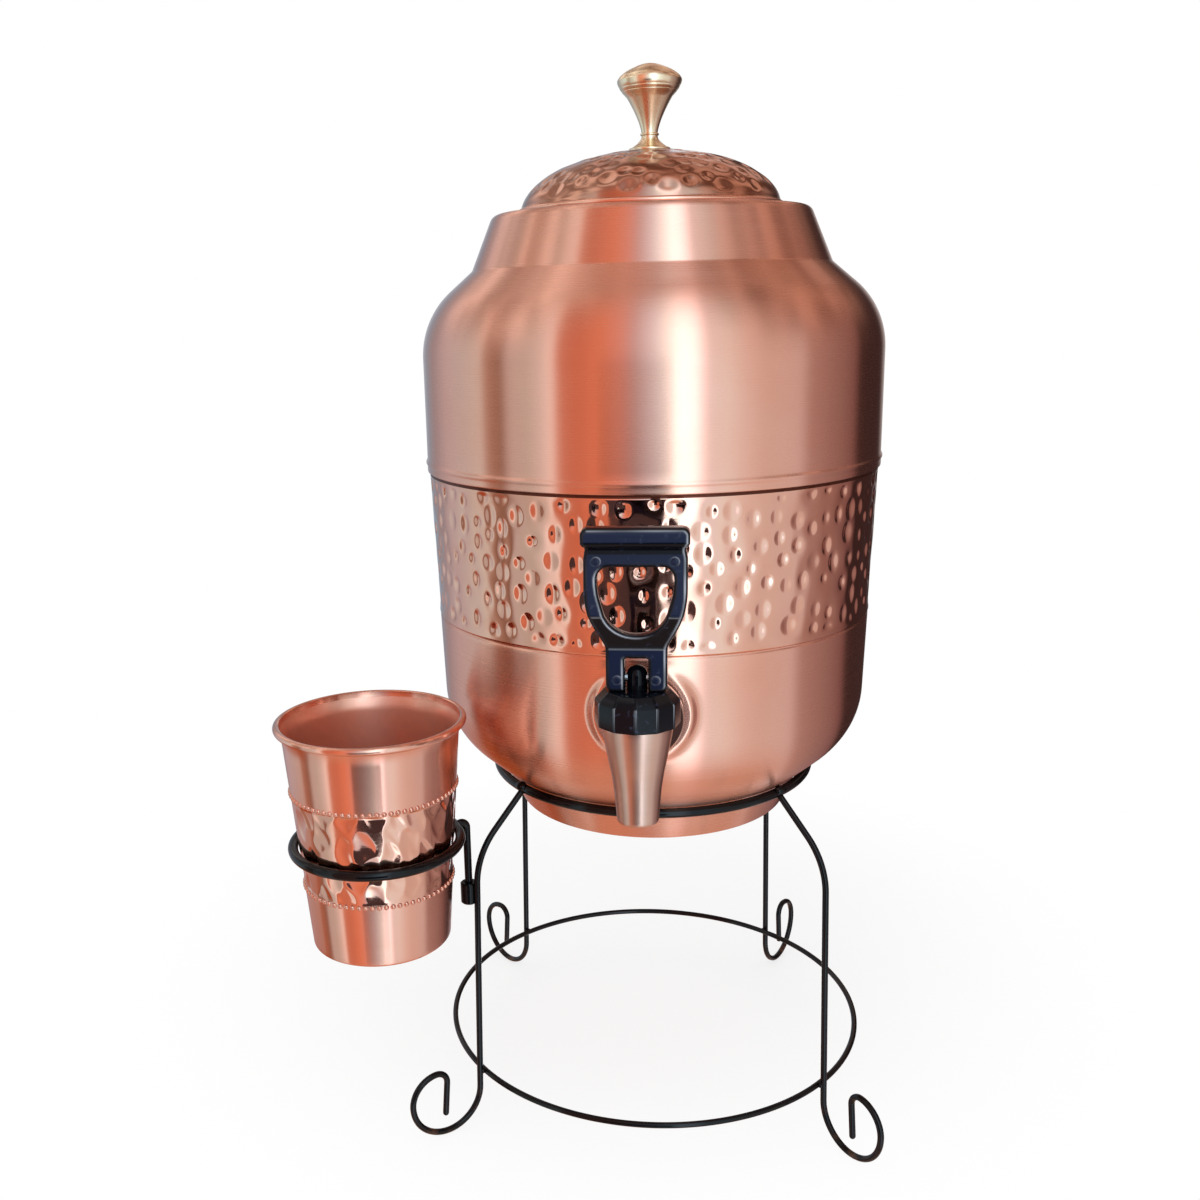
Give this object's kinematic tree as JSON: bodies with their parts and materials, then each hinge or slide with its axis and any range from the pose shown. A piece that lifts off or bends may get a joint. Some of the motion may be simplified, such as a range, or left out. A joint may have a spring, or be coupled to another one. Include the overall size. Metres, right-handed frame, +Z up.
{
  "type": "water dispenser",
  "caption": "Round copper water pot with a lever tap and domed lid, standing in a black wire stand that carries a copper tumbler in a side ring.",
  "frame": {"origin": "on the floor under the middle of the footprint", "axes": "+Z up, -Y the way the tap points, +X to the right when facing the tap"},
  "size_m": [0.2445, 0.2544, 0.4444],
  "materials": {
    "pot_copper": "satin brushed copper with a polished hammered band",
    "lid_copper": "polished hammered copper",
    "knob_brass": "polished turned brass",
    "tap_metal": "brushed",
    "seal": "soft silicone",
    "fixing_steel": "plain",
    "black_plastic": "gloss black",
    "black_wire": "gloss black coating",
    "cup_copper": "satin copper with a polished hammered band"
  },
  "bodies": {
    "stand": {"upper_ring": "black_wire", "lower_ring": "black_wire", "leg_front_left": "black_wire", "leg_front_right": "black_wire", "leg_back_left": "black_wire", "leg_back_right": "black_wire", "holder_socket": "black_wire"},
    "pot": {"pot_lower_shell": "pot_copper", "pot_upper_shell": "pot_copper", "tap_body": "tap_metal", "outer_washer": "seal", "inner_washer": "seal", "lock_nut": "fixing_steel", "bonnet": "black_plastic", "return_spring": "fixing_steel"},
    "lid": {"lid_dome": "lid_copper", "lid_collar": "lid_copper", "knob": "knob_brass", "knob_washer": "knob_brass", "knob_nut": "knob_brass"},
    "valve": {"stem": "black_plastic", "pivot_pin": "fixing_steel", "seat_plug": "seal"},
    "lever": {"lever": "black_plastic"},
    "cup_holder": {"cup_holder": "black_wire"},
    "cup": {"cup": "cup_copper"}
  },
  "joints": [
    {"name": "pot_lift", "type": "slide", "parent": "stand", "child": "pot", "axis": [0, 0, 1], "range_m": [0, 0.06]},
    {"name": "lid_lift", "type": "slide", "parent": "pot", "child": "lid", "axis": [0, 0, 1], "range_m": [0, 0.08]},
    {"name": "stem_lift", "type": "slide", "parent": "pot", "child": "valve", "axis": [0, 0, 1], "range_m": [0, 0.0035], "deforming": ["return_spring"]},
    {"name": "lever_tilt", "type": "hinge", "parent": "valve", "child": "lever", "pos_m": [0.0246, -0.1122, 0.227], "axis": [1, 0, 0], "range_deg": [0, 40], "stiffness_Nm_per_rad": 0.02, "springref_deg": -34.38},
    {"name": "holder_swing", "type": "hinge", "parent": "stand", "child": "cup_holder", "pos_m": [-0.05131, -0.04166, 0.10875], "axis": [0, 0, 1], "range_deg": [-10, 25]},
    {"name": "cup_lift", "type": "slide", "parent": "cup_holder", "child": "cup", "axis": [0, 0, 1], "range_m": [0, 0.13]}
  ],
  "couplings": [
    {"joint": "stem_lift", "follows": "lever_tilt", "m_per_rad": 0.005}
  ]
}
